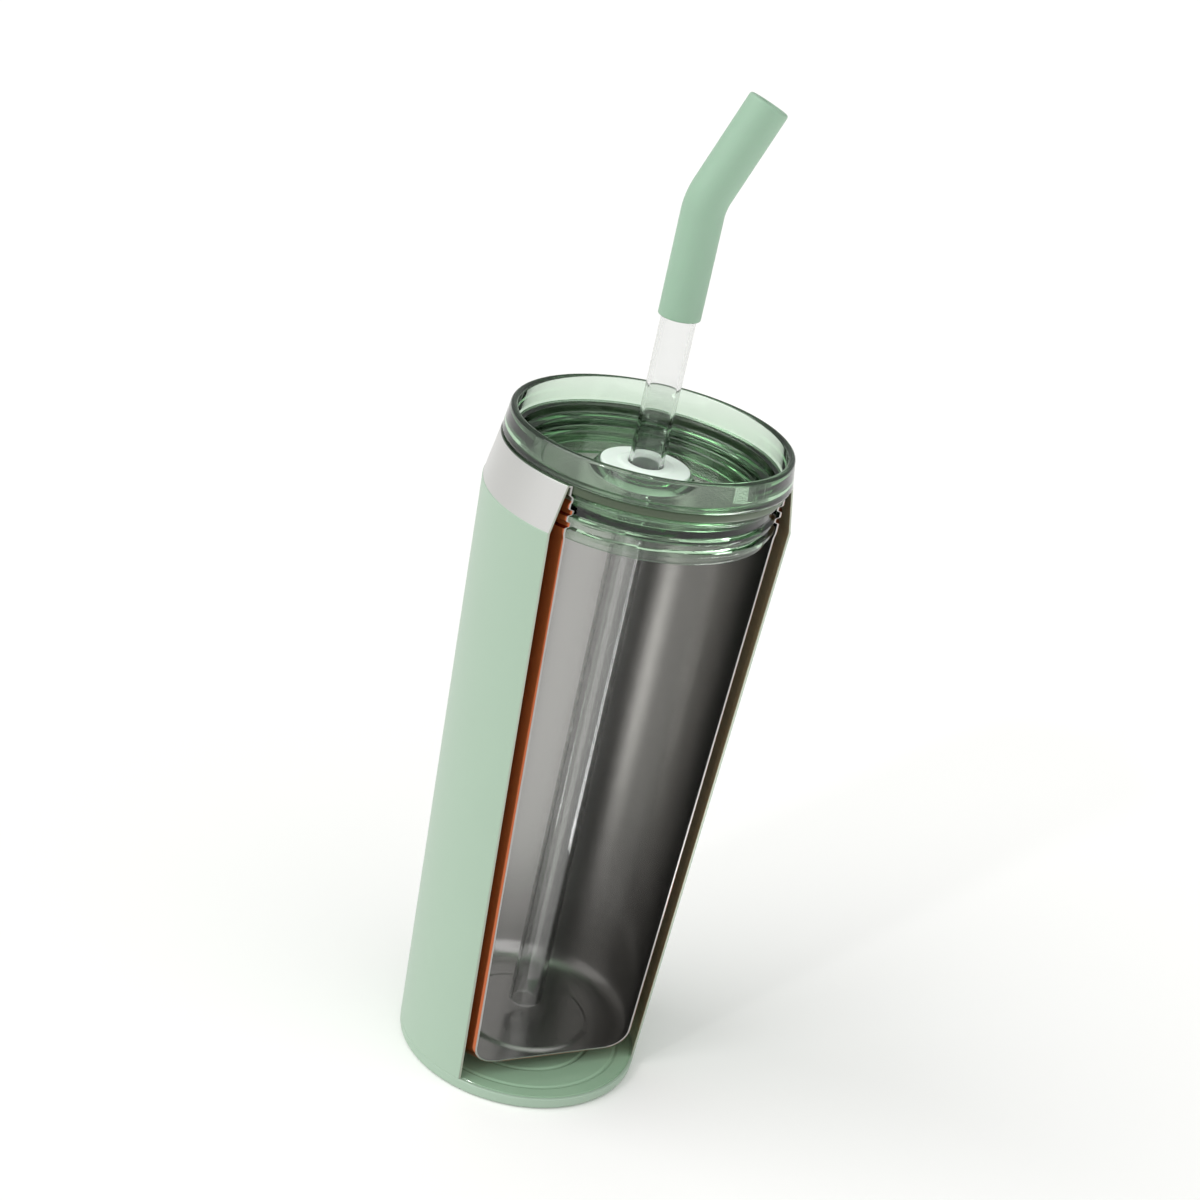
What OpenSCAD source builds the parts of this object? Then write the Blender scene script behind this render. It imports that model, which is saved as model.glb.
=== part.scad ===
// Vacuum tumbler with a screw-on straw lid. One side of the wall is sectioned flat to show
// the double wall, the copper lining and the drinking space. Z is the axis, the table is z = 0,
// and the section faces -Y.

/* [Body] */
// Outer radius of the coated body at the table
base_r = 33.2; // [32.8:0.1:34]
// Outer radius of the coated body at the top edge of the coating
shoulder_r = 40; // [39.8:0.1:41]
// Height of the top edge of the coating
coat_top = 165.5; // [164:0.5:167]
// Outer radius of the bare collar at the lip
lip_r = 37.6; // [37.5:0.1:38.2]
// Height of the lip
lip_z = 177.9; // [177.7:0.1:178]
// Thickness of the steel of shell and liner
sheet_t = 0.4; // [0.35:0.05:0.6]
// Thickness of the powder coating
coat_t = 0.15; // [0.1:0.05:0.2]
// Distance of the section plane from the axis
section_y = 19.4; // [15:0.1:25]

/* [Base] */
// Height of the base cap, up to its seam with the shell
cap_h = 3.4; // [3:0.1:3.6]
// Rounding of the cap's lower edge
cap_round = 1.2; // [0.5:0.1:2]
// Radius of the cover plate under the cap
cover_r = 24; // [15:0.5:27]
// Thickness of the cover plate
cover_t = 0.8; // [0.5:0.1:1]

/* [Liner] */
// Height of the drinking space's floor
floor_z = 8.1; // [7.8:0.1:9]
// Inner radius that the liner's wall would have at its floor
liner_low_r = 30.2; // [29.5:0.1:30.4]
// Inner radius at the top of the tapered wall
liner_high_r = 35.6; // [35.2:0.1:35.6]
// Rounding between floor and wall
liner_round = 5; // [3:0.5:7]
// Inner radius of the threaded neck
neck_r = 35.9; // [35.8:0.1:36]
// Thickness of the copper lining
copper_t = 0.2; // [0.1:0.05:0.3]

/* [Lid] */
// Height of the lid's rim
rim_z = 185.9; // [184:0.1:190]
// Outer radius of the rim
rim_r = 36.5; // [36.2:0.1:36.8]
// Thickness of the rim's wall
rim_t = 1.9; // [1.5:0.1:2.2]
// Outer radius of the skirt that reaches into the neck
skirt_r = 34.2; // [34:0.1:34.3]
// Height of the skirt's lower edge
skirt_z = 163.4; // [162:0.1:164]
// Height of the dish's floor
dish_z = 170.6; // [170:0.1:171.5]
// Rise of the thread in one turn
pitch = 3.2; // [3:0.1:3.2]

/* [Straw] */
// Outer radius of the straw
straw_r = 4.5; // [4.2:0.1:4.8]
// Wall of the straw
straw_t = 1; // [0.8:0.1:1.2]
// Height of the straw's lower end
straw_low = 12.7; // [11:0.1:20]
// Height of the straw's upper end, inside the mouthpiece
straw_high = 238; // [230:0.5:240]

/* [Mouthpiece] */
// Outer radius of the mouthpiece
tip_r = 5.4; // [5.3:0.1:6]
// Height of its lower end
tip_low = 215; // [205:0.5:220]
// Height of the point where its two straight runs would cross
bend_z = 244.3; // [243.5:0.1:250]
// Angle of the bend
bend_angle = 22; // [10:1:45]
// Length of the upper run, from the crossing point
tip_run = 27.7; // [20:0.1:35]
// Direction that the mouthpiece points in, about the axis
tip_turn = -14; // [-180:1:180]

/* [Hidden] */
$fn = 96;

mint = "#a9c8ae";
steel = "#c9c9c6";
copper = "#b9673a";
clear_green = [0.45, 0.72, 0.52, 0.45];
silicone = "#b9d6bd";

// Clearance of a sliding or turning fit, on the radius
fit = 0.05;
body_slope = (shoulder_r - base_r) / coat_top;
function body_r(z) = base_r + body_slope * z;

// Liner
floor_step = 0.7;
step_out = 18.9;
step_in = 17.6;
taper_top = 163.5;
neck_low = 165.5;
seat_r = neck_r + 0.5;
seat_low = 175;
seat_full = 175.4;
copper_top = 174;
liner_slope = (liner_high_r - liner_low_r) / (taper_top - floor_z);
function liner_r(z) = liner_low_r + liner_slope * (z - floor_z);

// Thread: the neck's ridge points inwards and the lid's outwards, half a pitch apart
neck_crest_r = 34.9;
neck_thread_z = 167;
neck_turns = 2.25;
lid_crest_r = 35.4;
lid_turns = 1.6;
ridge_root = 0.75;
ridge_crest = 0.35;
neck_thread_angle = 134;
steps_per_turn = 48;
run_out = 8;

// Lid
flange_r = 37.4;
flange_z = 178.2;
gasket_z = 175.6;
gasket_top = 178;
gasket_r = 36.1;
groove_r = 34.5;
groove_z = 175.4;
groove_lip_r = 35.2;
groove_lip_z = 174.4;
skirt_t = 1.8;
floor_t = 1.8;
boss_low_r = 15;
boss_top_r = 12.4;
boss_z = 174.6;
foot_z = dish_z - floor_t + (boss_z - dish_z) / 2;
grommet_hole_r = 8;
grommet_flange_r = 11.6;
grommet_foot_r = 9.6;
grommet_top = 176;
grommet_flange_t = 1.4;
grommet_foot_t = 1.6;

// Base
dimple_r = 5;
dimple_top = 2.4;
pump_hole_r = 0.8;
bead_low = 1.5;
bead_gap = 0.5;
cover_seat_z = 1;
press_ring_d = 0.3;
getter_r = 4;
getter_h = 1.2;
getter_at = [13, 9];
strap_w = 3;
strap_t = 0.3;
strap_reach = 7;

// Mouthpiece
bend_rad = 16;
bend_start = bend_z - bend_rad * tan(bend_angle / 2);
upper_run = tip_run - bend_rad * tan(bend_angle / 2);
tip_bore = straw_r - straw_t;
bend_overlap = 0.3;
bend_swell = 0.03;
edge_round = 0.7;

function arc(centre, radius, from, to, steps) =
    [for (i = [0 : steps]) let (a = from + (to - from) * i / steps)
        centre + radius * [cos(a), sin(a)]];

function reversed(points) = [for (i = [len(points) - 1 : -1 : 0]) points[i]];

// The liner's inner outline, moved outwards by off, from the centre of the floor to the top
function liner_line(off, top) = concat(
    [[0, floor_z + floor_step - off], [step_in, floor_z + floor_step - off],
     [step_out, floor_z - off]],
    arc([liner_r(floor_z + liner_round) - liner_round, floor_z + liner_round],
        liner_round + off, -90, 0, 10),
    [[liner_r(taper_top) + off, taper_top], [neck_r + off, neck_low],
     [neck_r + off, min(top, seat_low)]],
    top > seat_low ? [[seat_r + off, seat_full], [seat_r + off, top]] : []);

// Removes what lies in front of the section plane. The base cap is left whole.
module sectioned() {
    reach = 2 * shoulder_r;
    difference() {
        children();
        translate([-reach, -reach - section_y, 0])
            cube([2 * reach, reach, rim_z]);
    }
}

// A helical ridge of trapezoid section that fades out at both ends
module thread_ridge(root_r, crest_r, start_z, start_angle, turns) {
    count = ceil(turns * steps_per_turn);
    profile = [[0, -ridge_root], [1, -ridge_crest], [1, ridge_crest], [0, ridge_root]];
    points = [for (i = [0 : count]) let (
            turn = i / steps_per_turn,
            fade = min(1, (0.2 + i) / run_out, (0.2 + count - i) / run_out),
            a = start_angle + 360 * turn)
        for (p = profile) let (r = root_r + (crest_r - root_r) * p[0] * fade)
            [r * cos(a), r * sin(a), start_z + pitch * turn + p[1] * fade]];
    sides = [for (i = [0 : count - 1]) for (j = [0 : 3]) let (
            a = 4 * i + j,
            b = 4 * i + (j + 1) % 4)
        each [[a, b, b + 4], [a, b + 4, a + 4]]];
    last = 4 * count;
    ends = [[0, 3, 2], [0, 2, 1], [last, last + 1, last + 2], [last, last + 2, last + 3]];
    faces = concat(sides, ends);
    polyhedron(points = points,
        faces = crest_r < root_r ? [for (f = faces) reversed(f)] : faces);
}

// Steel outer wall, from the base cap to the lip
module outer_shell() {
    outline = [[body_r(cap_h) - coat_t, cap_h], [shoulder_r - coat_t, coat_top],
        [lip_r, lip_z], [lip_r - sheet_t, lip_z],
        [shoulder_r - coat_t - sheet_t, coat_top - sheet_t / 2],
        [body_r(cap_h) - coat_t - sheet_t, cap_h]];
    color(steel) sectioned() rotate_extrude() polygon(outline);
}

// Powder coating on the outside of the shell, up to the bare collar
module powder_coat() {
    outline = [[body_r(cap_h) - coat_t, cap_h], [body_r(cap_h), cap_h],
        [body_r(coat_top - coat_t), coat_top - coat_t], [shoulder_r - coat_t, coat_top]];
    color(mint) sectioned() rotate_extrude() polygon(outline);
}

// Drinking vessel, turned out at the top to meet the shell's lip, with the neck's thread
module inner_liner() {
    outer = concat(liner_line(sheet_t, lip_z - sheet_t),
        [[lip_r - sheet_t, lip_z - sheet_t], [lip_r - sheet_t, lip_z]]);
    color(steel) sectioned() {
        rotate_extrude() polygon(concat(liner_line(0, lip_z), reversed(outer)));
        thread_ridge(neck_r + sheet_t / 2, neck_crest_r, neck_thread_z,
            neck_thread_angle, neck_turns);
    }
}

// Copper plating on the side of the liner that faces the vacuum
module copper_lining() {
    color(copper) sectioned() rotate_extrude()
        polygon(concat(liner_line(sheet_t, copper_top),
            reversed(liner_line(sheet_t + copper_t, copper_top))));
}

// Solder glass that closes the pump hole from below, in the dimple
module vacuum_seal() {
    color("#3d4a52") translate([0, 0, bead_low])
        cylinder(h = dimple_top - bead_low, r1 = dimple_r - 2 * bead_gap, r2 = dimple_r - bead_gap);
}

// Pellet that takes up gas inside the vacuum
module getter_pellet() {
    color("#77736c") translate([getter_at[0], getter_at[1], cap_h])
        cylinder(h = getter_h, r = getter_r);
}

// Strap over the pellet, welded to the base at both ends
module getter_clip() {
    rise = getter_h + strap_t;
    color(steel) translate([getter_at[0], getter_at[1] - strap_w / 2, cap_h]) {
        translate([-getter_r - strap_t, 0, getter_h])
            cube([2 * (getter_r + strap_t), strap_w, strap_t]);
        for (side = [-1, 1]) {
            translate([side * (getter_r + strap_t / 2) - strap_t / 2, 0, 0])
                cube([strap_t, strap_w, rise]);
            translate([side > 0 ? getter_r : -strap_reach, 0, 0])
                cube([strap_reach - getter_r, strap_w, strap_t]);
        }
    }
}

// Bottom of the outer wall: pressed rings on its vacuum side, and underneath a seat for the
// cover plate and the dimple that the space was pumped out through
module base_cap() {
    outline = concat(
        [[pump_hole_r, dimple_top], [dimple_r, dimple_top], [dimple_r, cover_seat_z],
         [cover_r + 2 * fit, cover_seat_z], [cover_r + 2 * fit, 0.3], [cover_r + 0.4, 0]],
        arc([base_r - cap_round, cap_round], cap_round, -90, 0, 8),
        [[body_r(cap_h), cap_h]],
        [for (r = [28, 20]) each
            [[r + 0.8, cap_h], [r, cap_h - press_ring_d], [r - 0.8, cap_h]]],
        [[pump_hole_r, cap_h]]);
    color(mint) rotate_extrude() polygon(outline);
}

// Plate stuck under the cap, over the dimple
module cover_plate() {
    color(steel) rotate_extrude()
        polygon([[0, 0], [cover_r - 0.3, 0], [cover_r, 0.3], [cover_r, cover_t], [0, cover_t]]);
}

// Clear lid: rim, stepped dish, boss for the grommet, and a threaded skirt
module lid_body() {
    rim_in = rim_r - rim_t;
    outline = concat(
        arc([rim_r - rim_t / 2, rim_z - rim_t / 2], rim_t / 2, 180, 0, 12),
        [[flange_r, flange_z + 0.9], [flange_r - 0.4, flange_z], [groove_r, flange_z],
         [groove_r, groove_z], [groove_lip_r, groove_z], [groove_lip_r, groove_lip_z],
         [skirt_r, groove_lip_z - 0.6], [skirt_r, skirt_z + 0.5], [skirt_r - 0.5, skirt_z],
         [skirt_r - skirt_t, skirt_z], [skirt_r - skirt_t, dish_z - floor_t],
         [boss_low_r, dish_z - floor_t], [grommet_foot_r + 1, foot_z], [grommet_hole_r, foot_z],
         [grommet_hole_r, boss_z], [boss_top_r, boss_z], [boss_low_r, dish_z],
         [27.3, dish_z], [28, dish_z + 2.4], [30.4, dish_z + 2.9], [30.8, dish_z + 5.2],
         [32.8, dish_z + 5.7], [33.2, dish_z + 8], [rim_in - 0.1, dish_z + 8.4]]);
    color(clear_green) {
        rotate_extrude() polygon(outline);
        thread_ridge(skirt_r - 0.3, lid_crest_r, neck_thread_z - pitch / 2,
            neck_thread_angle, lid_turns);
    }
}

// Silicone seal between lid and neck
module lid_gasket() {
    round = 0.6;
    outline = concat([[groove_r + fit, gasket_z], [gasket_r - round, gasket_z]],
        arc([gasket_r - round, gasket_z + round], round, -90, 0, 5),
        arc([gasket_r - round, gasket_top - round], round, 0, 90, 5),
        [[groove_r + fit, gasket_top]]);
    color(silicone) rotate_extrude() polygon(outline);
}

// Silicone bush that holds the straw in the lid
module straw_grommet() {
    bore = straw_r + fit;
    outline = concat([[bore, foot_z - grommet_foot_t], [grommet_foot_r, foot_z - grommet_foot_t],
         [grommet_foot_r, foot_z], [grommet_hole_r, foot_z], [grommet_hole_r, boss_z],
         [grommet_flange_r, boss_z]],
        arc([grommet_flange_r - edge_round, grommet_top - edge_round], edge_round, 0, 90, 5),
        [[bore + 0.4, grommet_top], [bore, grommet_top - 0.4]]);
    color(silicone) rotate_extrude() polygon(outline);
}

// Clear straw
module straw_tube() {
    round = straw_t / 2;
    mid = straw_r - round;
    outline = concat(arc([mid, straw_low + round], round, 180, 360, 8),
        arc([mid, straw_high - round], round, 0, 180, 8));
    color([0.9, 0.95, 0.92, 0.35]) rotate_extrude() polygon(outline);
}

// A solid bar of radius r along the mouthpiece, from low, and longer at its end by extra.
// The bend is a trace thicker than the straight runs, which reach a little way into it.
module tip_bar(r, low, extra) {
    translate([0, 0, low])
        cylinder(h = bend_start - low + bend_overlap, r = r);
    translate([bend_rad, 0, bend_start])
        rotate([90, 0, 180])
            rotate_extrude(angle = bend_angle)
                translate([bend_rad, 0])
                    circle(r = r + bend_swell);
    translate([bend_rad * (1 - cos(bend_angle)), 0, bend_start + bend_rad * sin(bend_angle)])
        rotate([0, bend_angle, 0])
            translate([0, 0, -bend_overlap])
                cylinder(h = upper_run + extra + bend_overlap, r = r);
}

// Soft mouthpiece, pushed over the straw until it meets a shoulder
module straw_tip() {
    color(mint) rotate([0, 0, tip_turn]) difference() {
        tip_bar(tip_r, tip_low, 0);
        tip_bar(tip_bore, tip_low - 1, 1);
        translate([0, 0, tip_low - 1])
            cylinder(h = straw_high - tip_low + 1.2, r = straw_r + fit);
    }
}

outer_shell();
powder_coat();
inner_liner();
copper_lining();
vacuum_seal();
getter_pellet();
getter_clip();
base_cap();
cover_plate();
lid_body();
lid_gasket();
straw_grommet();
straw_tube();
straw_tip();
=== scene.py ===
"""Builds the finished look of a sectioned vacuum tumbler with a screw-on straw lid."""

import math

import bpy
from mathutils import Matrix, Quaternion, Vector


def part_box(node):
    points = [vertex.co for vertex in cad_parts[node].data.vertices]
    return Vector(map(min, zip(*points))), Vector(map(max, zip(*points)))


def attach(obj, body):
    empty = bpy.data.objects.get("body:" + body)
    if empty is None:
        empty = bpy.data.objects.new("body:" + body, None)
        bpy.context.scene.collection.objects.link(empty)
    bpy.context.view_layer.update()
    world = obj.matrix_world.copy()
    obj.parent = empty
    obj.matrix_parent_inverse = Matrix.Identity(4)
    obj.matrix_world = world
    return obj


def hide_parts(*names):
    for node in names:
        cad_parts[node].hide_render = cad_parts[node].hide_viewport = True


bl_info = {
    "name": "Sectioned Tumbler",
    "version": (1, 0, 0),
    "blender": (4, 5, 0),
    "location": "View3D > Sidebar > Tumbler",
    "description": "Builds a sectioned vacuum tumbler, its straw lid and its studio",
    "category": "Add Mesh",
}

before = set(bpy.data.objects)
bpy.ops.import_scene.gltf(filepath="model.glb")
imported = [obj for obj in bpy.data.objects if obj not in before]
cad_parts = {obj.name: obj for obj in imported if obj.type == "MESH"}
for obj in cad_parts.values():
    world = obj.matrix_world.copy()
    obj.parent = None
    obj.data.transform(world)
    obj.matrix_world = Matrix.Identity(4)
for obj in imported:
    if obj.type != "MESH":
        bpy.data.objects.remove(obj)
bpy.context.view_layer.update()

MM = 0.001
# Steps in one turn of the large pieces, the straw parts and the small round pieces
TURN_STEPS = 192
GROMMET_STEPS = 128
STRAW_STEPS = 96
TIP_STEPS = 72
SMALL_STEPS = 64
FULL_TURN = 2 * math.pi
# Sockets of a Mix node's colours, whose names repeat for each of its data types
MIX_A, MIX_B, MIX_RESULT = 6, 7, 2


# ---------------------------------------------------------------- sizes from the frame


def low_of(node):
    """Lowest corner of a node's box, in millimetres."""
    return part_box(node)[0] / MM


def high_of(node):
    """Highest corner of a node's box, in millimetres."""
    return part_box(node)[1] / MM


SHOULDER_R = high_of("powder_coat").x
COAT_TOP = high_of("powder_coat").z
LIP_Z = high_of("outer_shell").z
SECTION_Y = low_of("outer_shell").y
CAP_R = high_of("base_cap").x
CAP_H = high_of("base_cap").z
CAP_LEDGE = 0.8
LINER_LOW = low_of("inner_liner").z
LID_LOW = low_of("lid_body").z
RIM_Z = high_of("lid_body").z
FLANGE_R = high_of("lid_body").x
GASKET_LOW = low_of("lid_gasket").z
GASKET_HIGH = high_of("lid_gasket").z
GASKET_R = high_of("lid_gasket").x
GROMMET_LOW = low_of("straw_grommet").z
GROMMET_HIGH = high_of("straw_grommet").z
GROMMET_R = high_of("straw_grommet").x
STRAW_R = high_of("straw_tube").x
STRAW_LOW = low_of("straw_tube").z
STRAW_HIGH = high_of("straw_tube").z
TIP_LOW = low_of("straw_tip").z
COVER_R = high_of("cover_plate").x
COVER_T = high_of("cover_plate").z
GETTER = (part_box("getter_pellet")[0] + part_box("getter_pellet")[1]) / 2 / MM
GETTER_R = (high_of("getter_pellet").x - low_of("getter_pellet").x) / 2
GETTER_LOW = low_of("getter_pellet").z
GETTER_HIGH = high_of("getter_pellet").z
BEAD_LOW = low_of("vacuum_seal").z
BEAD_HIGH = high_of("vacuum_seal").z
BEAD_R = high_of("vacuum_seal").x
# The lid's groove and the gasket's hole, the lid's boss for the grommet, and the straw's fit
GROOVE_R = 34.5
GASKET_HOLE_R = 34.55
BOSS_TOP = 174.6
BOSS_HOLE_R = 8.0
STRAW_FIT = 0.05


def linear(text):
    """Linear RGBA of an sRGB hex value."""
    channels = [int(text[i : i + 2], 16) / 255 for i in (1, 3, 5)]
    return tuple(
        c / 12.92 if c <= 0.04045 else ((c + 0.055) / 1.055) ** 2.4 for c in channels
    ) + (1.0,)


def length(name, description, default_mm):
    """A size that a user may change, kept in metres."""
    return bpy.props.FloatProperty(
        name=name, description=description, default=default_mm * MM, min=0, unit="LENGTH",
        precision=5,
    )


def colour(name, description, text):
    """A colour that a user may change."""
    return bpy.props.FloatVectorProperty(
        name=name, description=description, default=linear(text), size=4, min=0, max=1,
        subtype="COLOR",
    )


class TumblerSizes(bpy.types.PropertyGroup):
    """Sizes of the walls, the lid and the mouthpiece"""

    sheet: length("Sheet", "Thickness of the steel of shell and liner", 0.4)
    coat: length("Coat", "Thickness of the powder coating", 0.15)
    copper: length("Copper", "Thickness of the copper plating", 0.04)
    lip_r: length("Lip radius", "Outer radius of the bare collar at the lip", 37.6)
    cap_round: length("Cap rounding", "Rounding of the base cap's lower edge", 1.2)
    liner_low_r: length("Liner radius, low", "Liner's inner radius at its floor", 30.2)
    liner_high_r: length("Liner radius, high", "Liner's inner radius under the neck", 35.6)
    neck_r: length("Neck radius", "Inner radius of the threaded neck", 35.9)
    pitch: length("Thread pitch", "Rise of the thread in one turn", 3.2)
    rim_r: length("Rim radius", "Outer radius of the lid's rim", 36.5)
    rim_t: length("Rim wall", "Thickness of the lid's rim", 1.9)
    skirt_r: length("Skirt radius", "Outer radius of the lid's skirt", 34.2)
    straw_t: length("Straw wall", "Thickness of the straw's wall", 1.0)
    tip_r: length("Mouthpiece radius", "Outer radius of the mouthpiece", 5.4)
    tip_bend_z: length("Bend height", "Height where the mouthpiece's runs cross", 244.3)
    tip_run: length("Upper run", "Length of the mouthpiece above its bend", 27.7)
    tip_bend: bpy.props.FloatProperty(
        name="Bend", description="Angle of the mouthpiece's bend",
        default=math.radians(22), subtype="ANGLE",
    )
    tip_turn: bpy.props.FloatProperty(
        name="Direction", description="Direction that the mouthpiece leans in",
        default=math.radians(-14), subtype="ANGLE",
    )


class TumblerColours(bpy.types.PropertyGroup):
    """Colours of the finishes"""

    coat: colour("Coating", "Powder coating", "#98ae9b")
    silicone: colour("Silicone", "Mouthpiece", "#8fac96")
    grommet: colour("Grommet", "Bush that holds the straw", "#ecfcef")
    gasket: colour("Gasket", "Seal of the lid", "#4c5845")
    collar: colour("Collar", "Bare steel of the collar and the cover plate", "#c8c8c6")
    liner: colour("Liner", "Steel of the drinking vessel", "#aeadab")
    # Steel of the shell's inner face: its straw tint is a painted reflection of the copper plating
    pickled: colour("Pickled steel", "Inner face of the shell", "#bccead")
    cut: colour("Cut edge", "Sawn edge of the shell", "#a2a799")
    cap_inside: colour("Cap inside", "Thin coat on the cap's inner face", "#92b195")
    copper: colour("Copper", "Plating in the vacuum", "#c26c48")
    lid: colour("Lid", "Tint of the clear lid", "#6cc474")
    straw: colour("Straw", "Tint of the clear straw", "#d8dad8")
    floor: colour("Floor", "Studio floor", "#f7f7f5")


class TumblerStudio(bpy.types.PropertyGroup):
    """Camera"""

    camera_at: bpy.props.FloatVectorProperty(
        name="Camera", description="Where the camera stands", size=3,
        default=(-0.2948, -0.4696, 0.3762), subtype="TRANSLATION", unit="LENGTH",
    )
    camera_azimuth: bpy.props.FloatProperty(
        name="Azimuth", description="Direction that the camera looks in, from +Y to +X",
        default=math.radians(31.73), subtype="ANGLE",
    )
    camera_drop: bpy.props.FloatProperty(
        name="Drop", description="How far the camera looks below the horizon",
        default=math.radians(23.39), subtype="ANGLE",
    )
    camera_roll: bpy.props.FloatProperty(
        name="Roll", description="How far the camera is turned about its view",
        default=math.radians(12.62), subtype="ANGLE",
    )
    lens: bpy.props.FloatProperty(
        name="Lens", description="Focal length on a 36 mm sensor", default=70.0,
        unit="CAMERA",
    )


# ---------------------------------------------------------------- modelling helpers


def select_nothing():
    """Leaves object mode with nothing selected."""
    if bpy.context.mode != "OBJECT":
        bpy.ops.object.mode_set(mode="OBJECT")
    bpy.ops.object.select_all(action="DESELECT")


def select_only(piece):
    """Selects one piece and makes it the active one."""
    select_nothing()
    piece.select_set(True)
    bpy.context.view_layer.objects.active = piece


def held(outline, margin=0.2):
    """Adds a point near each end of a long straight run, so that its shading stays even."""
    result = []
    for here, ahead in zip(outline, [*outline[1:], outline[0]]):
        result.append(here)
        reach = math.dist(here, ahead)
        if reach > 5 * margin:
            for part in (margin / reach, 1 - margin / reach):
                result.append(tuple(a + (b - a) * part for a, b in zip(here, ahead)))
    return result


def turned(name, outline, steps=TURN_STEPS):
    """Spins a closed outline of (radius, height) points in millimetres round the Z axis."""
    select_nothing()
    outline = held(outline)
    bpy.ops.mesh.primitive_plane_add(size=MM)
    piece = bpy.context.object
    piece.name = name
    bpy.ops.object.mode_set(mode="EDIT")
    bpy.ops.mesh.select_mode(type="VERT")
    bpy.ops.mesh.select_all(action="SELECT")
    bpy.ops.mesh.merge(type="CENTER")
    first = Vector((outline[0][0], 0, outline[0][1])) * MM
    bpy.ops.transform.translate(value=first)
    last = first
    for radius, height in [*outline[1:], outline[0]]:
        place = Vector((radius, 0, height)) * MM
        bpy.ops.mesh.extrude_vertices_move(TRANSFORM_OT_translate={"value": place - last})
        last = place
    bpy.ops.mesh.select_all(action="SELECT")
    bpy.ops.mesh.remove_doubles(threshold=MM / 1000)
    bpy.ops.mesh.select_all(action="SELECT")
    bpy.ops.mesh.spin(steps=steps, angle=FULL_TURN, center=(0, 0, 0), axis=(0, 0, 1))
    bpy.ops.mesh.select_all(action="SELECT")
    bpy.ops.mesh.remove_doubles(threshold=MM / 500)
    bpy.ops.mesh.normals_make_consistent(inside=False)
    select_nothing()
    return piece


def sectioned(piece):
    """Cuts a piece off at the section plane and closes the cut."""
    select_only(piece)
    bpy.ops.object.mode_set(mode="EDIT")
    bpy.ops.mesh.select_all(action="SELECT")
    bpy.ops.mesh.bisect(
        plane_co=(0, SECTION_Y * MM, 0), plane_no=(0, -1, 0), use_fill=True, clear_outer=True
    )
    select_nothing()
    return piece


def smoothed(piece, angle=32):
    """Shades a piece smooth, with edges sharper than the angle left crisp."""
    select_only(piece)
    bpy.ops.object.shade_smooth_by_angle(angle=math.radians(angle))
    select_nothing()
    return piece


def placed(piece, body, slot, finish, *nodes):
    """Gives a piece its finish, the body that it rides on and the nodes it stands for."""
    piece.data.materials.clear()
    piece.data.materials.append(finish)
    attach(piece, body)
    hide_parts(*nodes)
    return piece


def repainted(piece, finish, chosen):
    """Gives the chosen faces of a finished piece another finish."""
    piece.data.materials.append(finish)
    for face in piece.data.polygons:
        if chosen(face):
            face.material_index = len(piece.data.materials) - 1


def on_cut(face):
    """Whether a face lies in the section plane."""
    return face.normal.y < -0.99 and abs(face.center.y - SECTION_Y * MM) < MM / 100


def faces_axis(face):
    """Whether a face looks towards the axis."""
    outward = Vector((face.center.x, face.center.y, 0)).normalized()
    return face.normal.dot(outward) < -0.7


def arc(centre, radius, start, end, steps):
    """Points on an arc round (radius, height), with angles in degrees."""
    angles = [math.radians(start + (end - start) * i / steps) for i in range(steps + 1)]
    return [(centre[0] + radius * math.cos(a), centre[1] + radius * math.sin(a)) for a in angles]


def run(start, end, gap):
    """Points along a straight line, about a gap apart, without its last point."""
    reach = math.dist(start, end)
    count = max(1, round(reach / gap))
    return [
        (start[0] + (end[0] - start[0]) * i / count, start[1] + (end[1] - start[1]) * i / count)
        for i in range(count)
    ]


def box_outline(inner, outer, low, high):
    """Corners of a rectangular outline."""
    return [(inner, low), (outer, low), (outer, high), (inner, high)]


def rounded(points, radius, steps=5):
    """Rounds each corner of a closed outline with a short curve."""
    result = []
    for i, here in enumerate(points):
        before, after = Vector(points[i - 1]), Vector(points[(i + 1) % len(points)])
        corner = Vector(here)
        reach = min(radius, (before - corner).length * 0.45, (after - corner).length * 0.45)
        start = corner + (before - corner).normalized() * reach
        end = corner + (after - corner).normalized() * reach
        for step in range(steps + 1):
            t = step / steps
            result.append(tuple(start * (1 - t) ** 2 + corner * 2 * t * (1 - t) + end * t**2))
    return result


def rounded_open(points, radius, steps=4):
    """Rounds the inner corners of an open line, with its ends left where they are."""
    closed = rounded(points, radius, steps)
    inner = closed[steps + 1 : -(steps + 1)]
    return [points[0], *inner, points[-1]]


def eased(t):
    """A soft S from 0 to 1."""
    return t * t * (3 - 2 * t)


def rounded_step(start, end, steps=6):
    """Points on a soft S between two points."""
    return [
        (start[0] + (end[0] - start[0]) * eased(t), start[1] + (end[1] - start[1]) * t)
        for t in (i / steps for i in range(steps + 1))
    ]


def thread_height(x, y, z, start_z, start_angle, turns, pitch):
    """How much of a helical ridge there is at a point, from 0 to 1. Sizes in millimetres."""
    angle = (math.atan2(y, x) - start_angle) % FULL_TURN / FULL_TURN
    turn = round((z - start_z) / pitch - angle)
    along = angle + turn
    if along < 0 or along > turns:
        return 0.0
    half_width, flank_width, fade = 0.30, 0.16, 0.12
    off = abs(z - start_z - pitch * along) / pitch
    flank = min(1.0, max(0.0, (half_width - off) / flank_width))
    ends = min(1.0, along / fade, (turns - along) / fade)
    return eased(flank) * max(0.0, ends)


# ---------------------------------------------------------------- finishes


def add(tree, kind, values=None, links=None, **settings):
    """Adds a node with its settings, its unlinked values and its incoming links."""
    node = tree.nodes.new(kind)
    for key, value in settings.items():
        setattr(node, key, value)
    for key, value in (values or {}).items():
        node.inputs[key].default_value = value
    for key, source in (links or {}).items():
        tree.links.new(source, node.inputs[key])
    return node


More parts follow.
